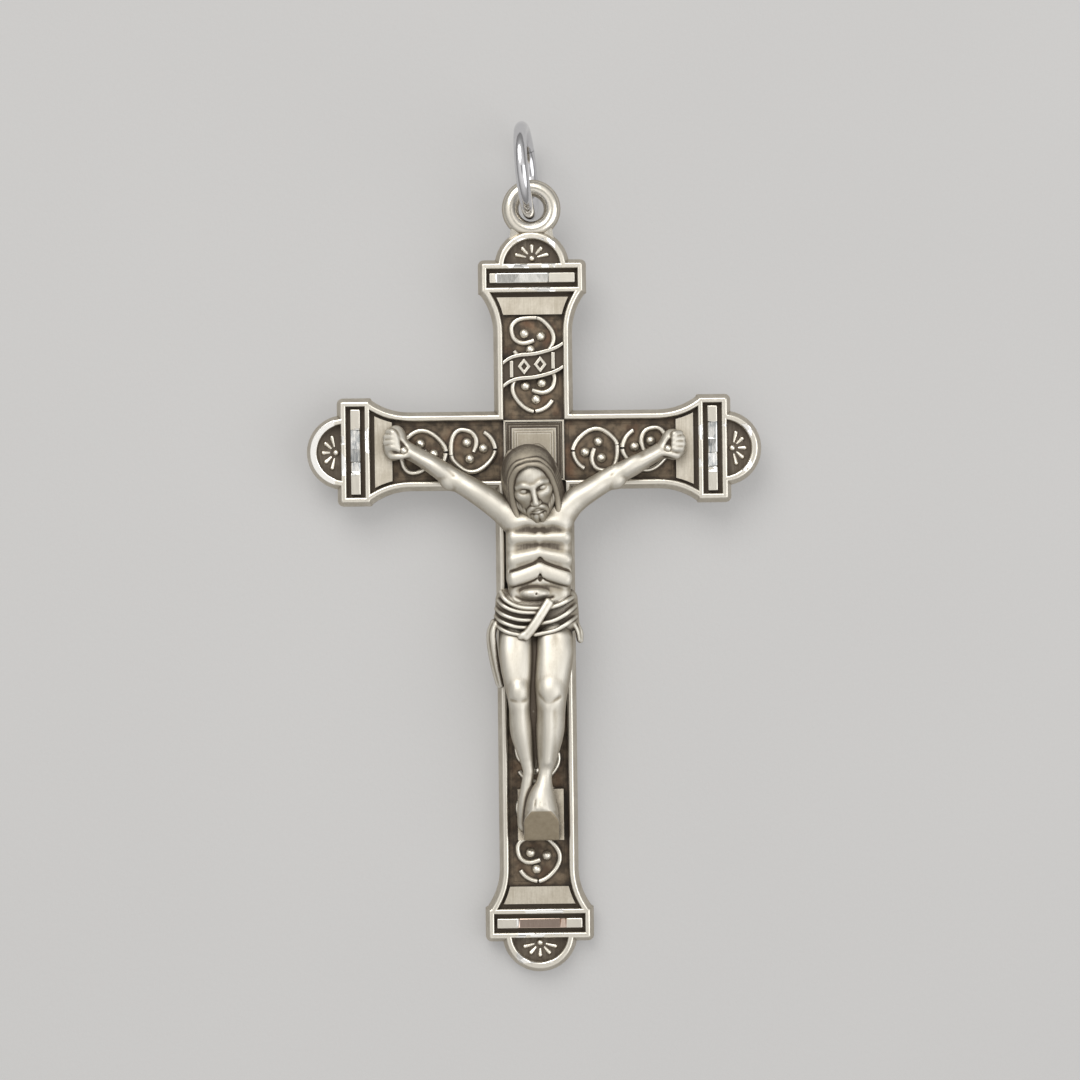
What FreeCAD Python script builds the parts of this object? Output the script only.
"""Crucifix pendant: a cast plate with applied relief, a riveted corpus, a bail eye and a swinging jump ring.

Everything is drawn lying on its back: X to the right, Y up the cross, Z towards the viewer, with the origin
at the crossing on the flat back. place() then stands it up: the front faces -Y, the top is +Z, and the row's
origin is the centre of the bail eye. Sizes are millimetres.
"""

import FreeCAD
import Part
import math
import os

from FreeCAD import Vector

# ---- driving dimensions -------------------------------------------------------------------------
# the cross, measured from the crossing along each arm
PANEL_END = {"upper": 12.9, "left": 13.5, "right": 13.5, "lower": 41.5}
ARM_ANGLE = {"right": 0, "upper": 90, "left": 180, "lower": 270}
ARM_HALF = 3.35  # half width of an arm at the top of its border
BORDER = 0.48  # width of the raised border
COVE_LENGTH = 2.1  # from the end of a panel to the cap
CAP_LENGTH = 2.75
CAP_HALF = 4.75
LUNETTE_HALF = 3.15  # half width of a lunette where it leaves the cap
LUNETTE_RISE = 2.9
FLARE_RADIUS = 6.6  # the hollow curve that widens an arm to its cap
FLARE_LENGTH = 3.8
DRAFT = 0.4  # how far the plate stands out past the border's top edge
CORNER = 0.16  # radius of a cap's corners at the border's top edge; the draft adds to it

# heights above the flat back
PLATE_TOP = 1.0
PANEL_TOP = 1.15
BORDER_TOP = 1.9
COVE_TOP = 1.62
BAR_TOP = 1.84
BACK_BEVEL = 0.3  # the bevel round the plate's back edge
BORDER_ROUND = 0.18
RELIEF_ROUND = 0.07

# bail eye and jump ring
EYE_ABOVE_CROSSING = 23.0
EYE_RADIUS = 2.0  # to the middle of the eye's round section
EYE_WIRE = 0.8  # radius of that section
RING_RADIUS = 4.1
RING_WIRE = 0.62
RING_ABOVE_EYE = 3.66  # from the eye's centre to the ring's
RING_ASIDE = -0.15
RING_LEAN = 4.5  # degrees to the left of upright
RING_YAW = -6.0  # degrees about its upright axis, the near side turned to the left
RING_SEAM = 0.05
SEAM_PLACE = 35  # degrees above the ring's far side

# scrollwork
TENDRIL_HALF = 0.2  # half width of a tendril
TENDRIL_HEIGHT = 0.36
BERRY = 0.47
HEART_PITCH = 4.72  # from the point of one heart to the next
FIRST_HEART = 3.5  # from the crossing to the point of the first heart

# fixings
NAIL_SHANK = 0.22
NAIL_HEAD = 0.36
PEG = 0.5
FIT = 0.02  # radial clearance of a shank in its hole

Z = Vector(0, 0, 1)
MARGIN = 1.0  # how far a cutting tool runs past what it cuts
PLATE_MID = BORDER_TOP / 2  # the plane of the eye, halfway through the cross

os.makedirs("parts", exist_ok=True)


# ---- helpers ------------------------------------------------------------------------------------
def place(shape):
    """Stands a lying shape up in the row frame."""
    stood = shape.copy()
    turn = FreeCAD.Rotation(Vector(1, 0, 0), 90)
    move = Vector(0, PLATE_MID, -EYE_ABOVE_CROSSING)
    stood.Placement = FreeCAD.Placement(move, turn).multiply(stood.Placement)
    return stood


def write(name, shape):
    solids = shape.Solids
    stood = place(Part.makeCompound(solids) if len(solids) > 1 else solids[0])
    stood.exportStep(f"parts/{name}.step")
    print(name, len(solids), "solid(s)", round(sum(s.Volume for s in solids), 3), "mm3")


def turned(shape, arm):
    """A shape drawn on the right arm, turned round the crossing to another arm."""
    other = shape.copy()
    other.rotate(Vector(0, 0, 0), Z, ARM_ANGLE[arm])
    return other


def box(x0, x1, y0, y1, z0, z1):
    return Part.makeBox(x1 - x0, y1 - y0, z1 - z0, Vector(x0, y0, z0))


def prism(points, z0, z1):
    wire = Part.makePolygon([Vector(x, y, z0) for x, y in [*points, points[0]]])
    return Part.Face(wire).extrude(Vector(0, 0, z1 - z0))


def line(a, b):
    return Part.LineSegment(Vector(*a), Vector(*b)).toShape()


def arc(a, b, c):
    return Part.Arc(Vector(*a), Vector(*b), Vector(*c)).toShape()


def spline(points, z):
    curve = Part.BSplineCurve()
    curve.interpolate([Vector(x, y, z) for x, y in points])
    return curve.toShape()


def half_round(points, z, half, height):
    """A half-round wire lying on the plane z along a smooth line through points."""
    path = Part.Wire([spline(points, z)])
    edge = path.Edges[0]
    start = edge.valueAt(edge.FirstParameter)
    along = edge.tangentAt(edge.FirstParameter).normalize()
    side = Z.cross(along)
    left, right, top = start + side * half, start - side * half, start + Z * height
    profile = Part.Wire([Part.Arc(left, top, right).toShape(), Part.LineSegment(right, left).toShape()])
    return path.makePipeShell([profile], True, False)


def rounded_top(shape, radius):
    """A shape with the edges of its highest face rounded."""
    top = max(v.Z for v in shape.Vertexes)
    return shape.makeFillet(radius, [e for e in shape.Edges if min(v.Z for v in e.Vertexes) > top - 1e-6])


# ---- the cross's outline ------------------------------------------------------------------------
def cap_start(arm):
    return PANEL_END[arm] + COVE_LENGTH


def cap_end(arm):
    return cap_start(arm) + CAP_LENGTH


LUNETTE_RADIUS = (LUNETTE_HALF**2 + LUNETTE_RISE**2) / (2 * LUNETTE_RISE)


def flare_point(arm, offset, along):
    """The point of the flare's hollow curve at a distance along the arm, for an outline moved out by offset."""
    start = cap_start(arm) - FLARE_LENGTH
    radius = FLARE_RADIUS - offset
    return along, ARM_HALF + FLARE_RADIUS - math.sqrt(radius**2 - (along - start) ** 2)


def arm_edges(arm, offset, z):
    """One arm's part of the outline, from the corner before it to the corner after it."""
    start = cap_start(arm) - FLARE_LENGTH
    inner, outer = ARM_HALF + offset, CAP_HALF + offset
    centre = cap_end(arm) + LUNETTE_RISE - LUNETTE_RADIUS
    shoulder = cap_end(arm) + offset
    arc_half = math.sqrt((LUNETTE_RADIUS + offset) ** 2 - (shoulder - centre) ** 2)
    flare_end = flare_point(arm, offset, cap_start(arm) - offset * 0.4)
    flare_mid = flare_point(arm, offset, (start + flare_end[0]) / 2)
    corner = CORNER + offset
    bend = corner * (1 - math.sqrt(0.5))
    side = [(inner, inner), (start, inner), flare_mid, flare_end]
    side += [(cap_start(arm) - offset * 0.4 + 0.12, outer), (shoulder - corner, outer)]
    side += [(shoulder - bend, outer - bend), (shoulder, outer - corner), (shoulder, arc_half)]
    low = [(u, -v, z) for u, v in side]
    high = [(u, v, z) for u, v in reversed(side)]
    apex = (centre + LUNETTE_RADIUS + offset, 0, z)
    edges = [line(low[0], low[1]), arc(low[1], low[2], low[3]), line(low[3], low[4]), line(low[4], low[5])]
    edges += [arc(low[5], low[6], low[7]), line(low[7], low[8]), arc(low[8], apex, high[0])]
    edges += [line(high[0], high[1]), arc(high[1], high[2], high[3]), line(high[3], high[4])]
    edges += [line(high[4], high[5]), arc(high[5], high[6], high[7]), line(high[7], high[8])]
    return [turned(e, arm) for e in edges]


def outline(offset, z):
    edges = []
    for arm in ("right", "upper", "left", "lower"):
        edges += arm_edges(arm, offset, z)
    return Part.Wire(Part.__sortEdges__(edges))


def slab(low_offset, low, high_offset, high):
    """A layer of the cross between two outlines."""
    return Part.makeLoft([outline(low_offset, low), outline(high_offset, high)], True, True)


# ---- openings in the border ---------------------------------------------------------------------
def field_points(arm, inset, end):
    """Half of an arm's inner field, as far as end, kept inset inside the border's top edge."""
    start = cap_start(arm) - FLARE_LENGTH
    steps = 6
    curve = [flare_point(arm, -inset, start + (end - start) * i / steps) for i in range(steps + 1)]
    return [(0, ARM_HALF - inset), *curve]


def arm_field(arm, inset, begin, end, z0, z1):
    """A block that fills an arm between the borders, from begin to end along it, flaring with it."""
    half = [(u, v) for u, v in field_points(arm, inset, end) if u > begin + 0.01]
    straight = ARM_HALF - inset
    first = straight if begin <= cap_start(arm) - FLARE_LENGTH else flare_point(arm, -inset, begin)[1]
    upper = [(begin, first), *half]
    points = upper + [(u, -v) for u, v in reversed(upper)]
    return turned(prism(points, z0, z1), arm)


BAR_INSET = 0.5  # border left on each side of the sunk bar
BAR_HALF = 4.3


def bar_recess(arm, z0, z1):
    u0, u1 = cap_start(arm) + BAR_INSET, cap_end(arm) - BAR_INSET
    return turned(box(u0, u1, -BAR_HALF, BAR_HALF, z0, z1), arm)


FAN_BASE = 0.02  # the lunette's field starts this far past the cap's edge
FAN_RISE = 2.3
FAN_HALF = 2.65
FAN_RADIUS = (FAN_HALF**2 + FAN_RISE**2) / (2 * FAN_RISE)


def fan_recess(arm, z0, z1):
    base = cap_end(arm) + FAN_BASE
    low, apex, high = (base, -FAN_HALF, z0), (base + FAN_RISE, 0, z0), (base, FAN_HALF, z0)
    wire = Part.Wire([arc(low, apex, high), line(high, low)])
    return turned(Part.Face(wire).extrude(Vector(0, 0, z1 - z0)), arm)


# ---- where the corpus is fixed ------------------------------------------------------------------
PALM_LEFT = (-12.3, 0.05)
PALM_RIGHT = (12.65, -0.05)
HIP_PEG = (0.15, -15.6)
FOOT_PEG = (0.25, -34.8)


def pin_holes(shape, places, radius, z0, z1):
    for x, y in places:
        shape = shape.cut(Part.makeCylinder(radius + FIT, z1 - z0, Vector(x, y, z0)))
    return shape


# ---- plate and border ---------------------------------------------------------------------------
def make_back_plate():
    plate = slab(DRAFT, 0, DRAFT, PLATE_TOP)
    back_edges = [e for e in plate.Edges if max(v.Z for v in e.Vertexes) < 1e-6]
    plate = plate.makeChamfer(BACK_BEVEL, back_edges)
    plate = pin_holes(plate, (PALM_LEFT, PALM_RIGHT), NAIL_SHANK, -MARGIN, BORDER_TOP)
    return pin_holes(plate, (HIP_PEG, FOOT_PEG), PEG, -MARGIN, BORDER_TOP)


def make_border_frame():
    frame = slab(DRAFT, PLATE_TOP, 0, BORDER_TOP)
    top = BORDER_TOP + MARGIN
    for arm in PANEL_END:
        frame = frame.cut(arm_field(arm, BORDER, 0, cap_start(arm), PLATE_TOP - MARGIN, top))
        frame = frame.cut(bar_recess(arm, PLATE_TOP - MARGIN, top))
        frame = frame.cut(fan_recess(arm, PLATE_TOP - MARGIN, top))
    return rounded_top(frame, BORDER_ROUND)


# ---- what lies in the sunk fields ---------------------------------------------------------------
BOSS_HALF = ARM_HALF - BORDER
PANEL_EDGE = 0.42  # a plain margin round each panel's sunk ground
PANEL_SINK = 0.05


def make_panel(arm):
    straight = ARM_HALF - BORDER
    panel = arm_field(arm, BORDER, BOSS_HALF, PANEL_END[arm], PLATE_TOP, PANEL_TOP)
    edge = straight - PANEL_EDGE
    ground = box(BOSS_HALF + PANEL_EDGE, PANEL_END[arm] - PANEL_EDGE, -edge, edge,
                 PANEL_TOP - PANEL_SINK, PANEL_TOP + MARGIN)
    panel = panel.cut(turned(ground, arm))
    panel = pin_holes(panel, (PALM_LEFT, PALM_RIGHT), NAIL_SHANK, 0, BORDER_TOP)
    return pin_holes(panel, (HIP_PEG, FOOT_PEG), PEG, 0, BORDER_TOP)


COVE_GROOVE = 0.28
COVE_TO_CAP = 0.45


def make_cove(arm):
    """The plain satin field that flares from the panel to the cap."""
    cove = arm_field(arm, BORDER + COVE_GROOVE, PANEL_END[arm], cap_start(arm) - COVE_TO_CAP,
                     PLATE_TOP, COVE_TOP)
    return cove.cut(Part.makeCylinder(NAIL_SHANK + FIT, BORDER_TOP, Vector(*PALM_LEFT, 0)))


BAR_GROOVE = 0.42
BAR_END_GROOVE = 0.26


def make_cap_bar(arm):
    u0, u1 = cap_start(arm) + BAR_INSET + BAR_GROOVE, cap_end(arm) - BAR_INSET - BAR_GROOVE
    half = BAR_HALF - BAR_END_GROOVE
    return turned(rounded_top(box(u0, u1, -half, half, PLATE_TOP, BAR_TOP), 0.14), arm)


BOSS_STEPS = ((2.62, 1.28), (2.36, 1.42), (2.1, 1.56), (1.84, 1.7), (1.6, 1.8))  # half width, top


def make_centre_boss():
    """A ridge round the crossing, and steps that rise to a plain square."""
    rim = box(-BOSS_HALF, BOSS_HALF, -BOSS_HALF, BOSS_HALF, PLATE_TOP, 1.5)
    inner = BOSS_HALF - 0.16
    boss = rim.cut(box(-inner, inner, -inner, inner, PANEL_TOP, 2))
    for half, top in BOSS_STEPS:
        boss = boss.fuse(box(-half, half, -half, half, PLATE_TOP, top))
    return boss.removeSplitter()


# ---- fans in the lunettes -----------------------------------------------------------------------
RAYS = ((14, 1.5), (48, 1.3), (90, 1.2), (132, 1.3), (166, 1.5))  # angle round the bead, reach
RAY_START = 0.56
RAY_NARROW, RAY_WIDE = 0.1, 0.23
FAN_CENTRE = 0.5  # from the fan's base to its bead
FAN_BEAD = 0.33
FAN_GROUND = 1.1  # the lunette's sunk ground


def make_fan(arm):
    """Five club-shaped rays round a bead, standing on the lunette's ground."""
    base = cap_end(arm) + FAN_BASE
    ground = fan_recess(arm, PLATE_TOP, FAN_GROUND)
    centre = Vector(base + FAN_CENTRE, 0, FAN_GROUND)
    pieces = [Part.makeSphere(FAN_BEAD, centre, Z, 0, 90)]
    above = box(base - MARGIN, base + FAN_RISE + MARGIN, -FAN_HALF, FAN_HALF, FAN_GROUND, 3)
    for angle, reach in RAYS:
        way = Vector(math.sin(math.radians(angle)), math.cos(math.radians(angle)), 0)
        ray = Part.makeCone(RAY_NARROW, RAY_WIDE, reach - RAY_START, centre + way * RAY_START, way)
        ray = ray.fuse(Part.makeSphere(RAY_WIDE, centre + way * reach))
        pieces.append(ray.common(above))
    fan = ground
    for piece in pieces:
        fan = fan.fuse(turned(piece, arm))
    return fan


# ---- scrollwork ---------------------------------------------------------------------------------
# One heart, from its point outwards: a long limb on the side v > 0, a short limb opposite, and a hook that
# curls back inside from the far end, round three berries.
LONG_LIMB = ((0.17, 0.0), (0.42, 0.62), (1.05, 1.35), (1.8, 1.85), (2.5, 2.0),
             (3.2, 1.8), (3.85, 1.28), (4.25, 0.8), (4.38, 0.44))
SHORT_LIMB = ((0.19, -0.2), (0.26, -0.55), (0.46, -1.02), (0.8, -1.45), (1.24, -1.78))
HOOK = ((4.4, 0.38), (4.41, -0.2), (4.35, -0.95), (4.1, -1.6), (3.6, -2.0), (3.0, -2.0),
        (2.42, -1.78), (2.08, -1.33), (1.98, -0.82), (2.08, -0.32), (2.24, 0.1))
BERRIES = ((2.62, 0.75), (1.34, -0.24), (2.9, -0.8))
SPECK = 0.02  # anything smaller that a cut leaves is filed off


def heart(start, way, side):
    """The solids of one heart whose point is start from the crossing, opening outwards (way 1) or inwards."""
    ground = PANEL_TOP - PANEL_SINK
    spot = [[(start + way * u, side * v) for u, v in strand] for strand in (LONG_LIMB, SHORT_LIMB, HOOK)]
    solids = [half_round(points, ground, TENDRIL_HALF, TENDRIL_HEIGHT) for points in spot]
    for u, v in BERRIES:
        centre = Vector(start + way * u, side * v, ground)
        solids.append(Part.makeSphere(BERRY, centre, Z, 0, 90))
    return solids


def hearts(arm):
    """Where an arm's hearts start, which way they open and which side their long limb is on."""
    if arm != "lower":
        return [(FIRST_HEART, 1, 1), (FIRST_HEART + HEART_PITCH, 1, -1)]
    last = PANEL_END["lower"] - 0.28
    return [(last - i * HEART_PITCH, -1, 1 if i % 2 == 0 else -1) for i in range(7)]


def make_scrollwork(arm, *covers):
    """An arm's hearts, cut away under whatever covers them."""
    solids = []
    for start, way, side in hearts(arm):
        solids += [turned(s, arm) for s in heart(start, way, side)]
    work = Part.makeCompound(solids).cut([make_panel(arm), *covers])
    work = pin_holes(work, (PALM_LEFT, PALM_RIGHT), NAIL_SHANK, 0, BORDER_TOP)
    work = pin_holes(work, (HIP_PEG, FOOT_PEG), PEG, 0, BORDER_TOP)
    return Part.makeCompound([s for s in work.Solids if s.Volume > SPECK])


# ---- title scroll -------------------------------------------------------------------------------
SCROLL_LOW = ((-2.87, 5.9), (-2.2, 6.38), (-1.2, 6.66), (-0.1, 6.74), (1.1, 6.98), (2.1, 7.3), (2.87, 7.75))
SCROLL_HEIGHT = 2.55
SCROLL_TOP = 1.42
RIDGE = 0.17
SCROLL_END_ROLL = 0.3


def scroll_edge(rise, z):
    return spline([(x, y + rise) for x, y in SCROLL_LOW], z)


def scroll_blank(z0, z1):
    low, high = scroll_edge(0, z0), scroll_edge(SCROLL_HEIGHT, z0)
    x0, x1 = SCROLL_LOW[0][0], SCROLL_LOW[-1][0]
    y0, y1 = SCROLL_LOW[0][1], SCROLL_LOW[-1][1]
    sides = [line((x1, y1, z0), (x1, y1 + SCROLL_HEIGHT, z0)), line((x0, y0 + SCROLL_HEIGHT, z0), (x0, y0, z0))]
    wire = Part.Wire([low, sides[0], high, sides[1]])
    return Part.Face(wire).extrude(Vector(0, 0, z1 - z0))


def strip_along(rise, half, z0, z1):
    """A raised strip that follows the scroll's wave, half wide each side of the line."""
    lower = [(x, y + rise - half) for x, y in SCROLL_LOW]
    upper = [(x, y + rise + half) for x, y in SCROLL_LOW]
    low, high = spline(lower, z0), spline(upper, z0)
    ends = [line((*lower[-1], z0), (*upper[-1], z0)), line((*upper[0], z0), (*lower[0], z0))]
    return Part.Face(Part.Wire([low, ends[0], high, ends[1]])).extrude(Vector(0, 0, z1 - z0))


def make_title_scroll():
    """The waving scroll that crosses the upper arm, with a ridge along both edges."""
    scroll = scroll_blank(PANEL_TOP, SCROLL_TOP)
    for rise in (RIDGE, SCROLL_HEIGHT - RIDGE):
        scroll = scroll.fuse(strip_along(rise, RIDGE, PANEL_TOP, BORDER_TOP - 0.06))
    return rounded_top(scroll.removeSplitter(), RELIEF_ROUND)


def on_scroll(x):
    """The height of the scroll's middle line at x."""
    edge = scroll_edge(SCROLL_HEIGHT / 2, 0)
    crossing = edge.distToShape(line((x, 0, 0), (x, 20, 0)))[1][0][0]
    return crossing.y


MARK_TOP = 1.72
MARK_HALF_HEIGHT = 0.8
MARK_WIDTH = 0.34


def lozenge(x, y, half_width, half_height):
    return [(x - half_width, y), (x, y - half_height), (x + half_width, y), (x, y + half_height)]


def make_scroll_marks():
    """A plain ornament on the scroll: an upright bar, two open lozenges and another bar."""
    marks = []
    for x in (-2.05, 1.9):
        y = on_scroll(x)
        bar = box(x - MARK_WIDTH / 2, x + MARK_WIDTH / 2, y - MARK_HALF_HEIGHT, y + MARK_HALF_HEIGHT,
                  SCROLL_TOP, MARK_TOP)
        marks.append(rounded_top(bar, RELIEF_ROUND))
    for x in (-0.85, 0.68):
        y = on_scroll(x)
        outer = prism(lozenge(x, y, 0.62, MARK_HALF_HEIGHT), SCROLL_TOP, MARK_TOP)
        inner = prism(lozenge(x, y, 0.27, 0.36), SCROLL_TOP - MARGIN, MARK_TOP + MARGIN)
        marks.append(rounded_top(outer.cut(inner), RELIEF_ROUND))
    return Part.makeCompound(marks)


# ---- corpus -------------------------------------------------------------------------------------
# Points are x, y, and height above the flat back; radii follow. The figure's flat back lies on the border.
def limb(joints):
    """A smooth round limb through the joints, ended by a ball at the last one."""
    rings = []
    for i, (point, radius) in enumerate(joints):
        before, after = joints[max(i - 1, 0)][0], joints[min(i + 1, len(joints) - 1)][0]
        way = (Vector(*after) - Vector(*before)).normalize()
        rings.append(Part.Wire([Part.makeCircle(radius, Vector(*point), way)]))
    end, radius = joints[-1]
    return Part.makeLoft(rings, True, False).fuse(Part.makeSphere(radius * 1.06, Vector(*end)))


def ellipse_wire(x, y, z, half_x, half_z):
    """A closed ellipse in a plane across the figure."""
    points = []
    for i in range(16):
        a = 2 * math.pi * i / 16
        points.append(Vector(x + half_x * math.cos(a), y, z + half_z * math.sin(a)))
    curve = Part.BSplineCurve()
    curve.interpolate(points, PeriodicFlag=True)
    return Part.Wire([curve.toShape()])


def ellipsoid(centre, half):
    ball = Part.makeSphere(1.0)
    matrix = FreeCAD.Matrix()
    matrix.scale(*half)
    solid = ball.transformGeometry(matrix)
    solid.translate(Vector(*centre))
    return solid


TORSO = ((0.1, -5.0, 2.5, 2.3, 0.9), (0.15, -7.4, 2.7, 3.3, 1.3), (0.15, -9.4, 2.9, 3.45, 1.9), (0.2, -11.6, 2.8, 3.2, 1.7),
         (0.25, -13.2, 2.6, 3.0, 1.5), (0.15, -15.0, 2.8, 3.75, 1.7), (0.1, -16.8, 2.9, 4.05, 1.9),
         (0.05, -18.2, 2.9, 3.75, 1.7))
LEFT_ARM = (((-2.6, -6.4, 2.9), 1.3), ((-5.0, -4.6, 2.75), 1.2), ((-8.0, -2.75, 2.7), 1.05),
            ((-11.1, -0.6, 2.6), 0.78), ((-13.0, 0.6, 2.55), 1.2))
RIGHT_ARM = (((2.9, -6.0, 2.9), 1.3), ((5.6, -3.9, 2.75), 1.2), ((8.2, -2.35, 2.7), 1.05),
             ((11.3, -0.5, 2.6), 0.78), ((13.1, 0.25, 2.55), 1.2))
LEFT_LEG = (((-1.6, -17.6, 2.9), 1.75), ((-1.45, -24.6, 4.1), 1.3), ((-0.95, -28.2, 3.3), 1.1),
            ((-0.45, -31.4, 3.0), 0.7))
RIGHT_LEG = (((2.0, -17.6, 2.9), 1.8), ((1.5, -24.6, 4.3), 1.35), ((1.2, -28.2, 3.5), 1.1),
             ((0.45, -31.4, 3.3), 0.75))
FEET = (((0.3, -31.2, 3.7), 1.0), ((0.25, -34.6, 4.0), 1.75))
HEAD_CENTRE, HEAD_HALF = (-0.35, -3.6, 4.6), (2.35, 3.5, 2.3)
CLOTH_FALL = (((-3.95, -17.2, 2.7), 0.7), ((-3.35, -22.4, 2.5), 0.55))


def foot_rest_block(grow=0.0):
    """A wedge that fills the shaft between the borders and carries the feet."""
    x0, x1 = -1.95 - grow, 2.4 + grow
    profile = [(-36.9 - grow, PANEL_TOP - PANEL_SINK), (-36.9 - grow, 3.5 + grow),
               (-32.2 + grow, 2.1 + grow), (-32.2 + grow, PANEL_TOP - PANEL_SINK)]
    wire = Part.makePolygon([Vector(x0, y, z) for y, z in [*profile, profile[0]]])
    return Part.Face(wire).extrude(Vector(x1 - x0, 0, 0))


def make_corpus():
    torso = Part.makeLoft([ellipse_wire(*s) for s in TORSO], True, False)
    limbs = [limb(joints) for joints in (LEFT_ARM, RIGHT_ARM, LEFT_LEG, RIGHT_LEG, FEET, CLOTH_FALL)]
    body = torso.fuse([*limbs, ellipsoid(HEAD_CENTRE, HEAD_HALF)])
    body = body.cut(box(-20, 20, -60, 20, -5, BORDER_TOP))
    body = body.cut(foot_rest_block())
    body = body.cut(box(-20, 20, -60, -36.9, -5, 20))
    body = pin_holes(body, (PALM_LEFT, PALM_RIGHT), NAIL_SHANK, 0, 10)
    body = pin_holes(body, (PALM_LEFT, PALM_RIGHT), NAIL_HEAD, NAIL_TOP, 10)
    for place_xy, depth in ((HIP_PEG, HIP_PEG_TOP), (FOOT_PEG, FOOT_PEG_TOP)):
        body = body.cut(Part.makeCylinder(PEG + FIT, depth + FIT, Vector(*place_xy, 0)))
    return body


# ---- fixings ------------------------------------------------------------------------------------
NAIL_TOP = 3.42  # where a nail's head meets the palm
HIP_PEG_TOP = 3.2
FOOT_PEG_TOP = 3.9


def make_foot_rest():
    return pin_holes(foot_rest_block(), (FOOT_PEG,), PEG, 0, 10)


def make_nail(x, y):
    """A rivet nail: a domed head on the palm, and a shank that is filed flush behind the plate."""
    shank = Part.makeCylinder(NAIL_SHANK, NAIL_TOP, Vector(x, y, 0))
    head = Part.makeSphere(NAIL_HEAD, Vector(x, y, NAIL_TOP), Z, 0, 90)
    return shank.fuse(head)


def make_peg(x, y, top):
    return Part.makeCylinder(PEG, top, Vector(x, y, 0))


# ---- eye and ring -------------------------------------------------------------------------------
def make_bail_eye():
    """A round-section eye, with a neck that meets the top of the lunette."""
    centre = Vector(0, EYE_ABOVE_CROSSING, PLATE_MID)
    eye = Part.makeTorus(EYE_RADIUS, EYE_WIRE, centre, Z)
    y = EYE_ABOVE_CROSSING
    neck = prism([(-2.35, y - 4.2), (2.35, y - 4.2), (1.95, y - 1.9), (-1.95, y - 1.9)], 0.35, 1.45)
    neck = neck.cut(Part.makeCylinder(EYE_RADIUS, BORDER_TOP, Vector(0, y, 0)))
    eye = eye.fuse(neck)
    return eye.cut(slab(DRAFT, -MARGIN, DRAFT, PLATE_TOP)).cut(slab(DRAFT, PLATE_TOP, 0, BORDER_TOP))


def make_jump_ring():
    """A round wire ring through the eye, with its closing seam in the half behind the cross."""
    ring = Part.makeTorus(RING_RADIUS, RING_WIRE, Vector(0, 0, 0), Vector(1, 0, 0))
    seam = box(-MARGIN, MARGIN, -RING_SEAM / 2, RING_SEAM / 2, -RING_RADIUS - MARGIN, -RING_RADIUS + MARGIN)
    seam.rotate(Vector(0, 0, 0), Vector(1, 0, 0), SEAM_PLACE)
    ring = ring.cut(seam)
    ring.rotate(Vector(0, 0, 0), Vector(0, 1, 0), RING_YAW)
    ring.rotate(Vector(0, 0, 0), Z, RING_LEAN)
    lean = math.radians(RING_LEAN)
    ring.translate(Vector(RING_ASIDE - RING_ABOVE_EYE * math.sin(lean),
                          EYE_ABOVE_CROSSING + RING_ABOVE_EYE * math.cos(lean), PLATE_MID))
    return ring


# ---- the pieces ---------------------------------------------------------------------------------
scroll_space = scroll_blank(PANEL_TOP - PANEL_SINK, BORDER_TOP)

write("back_plate", make_back_plate())
write("border_frame", make_border_frame())
for each_arm in PANEL_END:
    write(f"panel_{each_arm}", make_panel(each_arm))
    write(f"cove_{each_arm}", make_cove(each_arm))
    write(f"cap_bar_{each_arm}", make_cap_bar(each_arm))
    write(f"fan_{each_arm}", make_fan(each_arm))
write("centre_boss", make_centre_boss())
write("scrollwork_upper", make_scrollwork("upper", scroll_space, make_cove("upper")))
write("scrollwork_left", make_scrollwork("left"))
write("scrollwork_right", make_scrollwork("right"))
write("scrollwork_lower", make_scrollwork("lower", foot_rest_block(FIT)))
write("title_scroll", make_title_scroll())
write("title_marks", make_scroll_marks())
write("foot_rest", make_foot_rest())
write("corpus", make_corpus())
write("palm_nails", Part.makeCompound([make_nail(*PALM_LEFT), make_nail(*PALM_RIGHT)]))
write("corpus_pegs", Part.makeCompound([make_peg(*HIP_PEG, HIP_PEG_TOP), make_peg(*FOOT_PEG, FOOT_PEG_TOP)]))
write("bail_eye", make_bail_eye())
write("jump_ring", make_jump_ring())
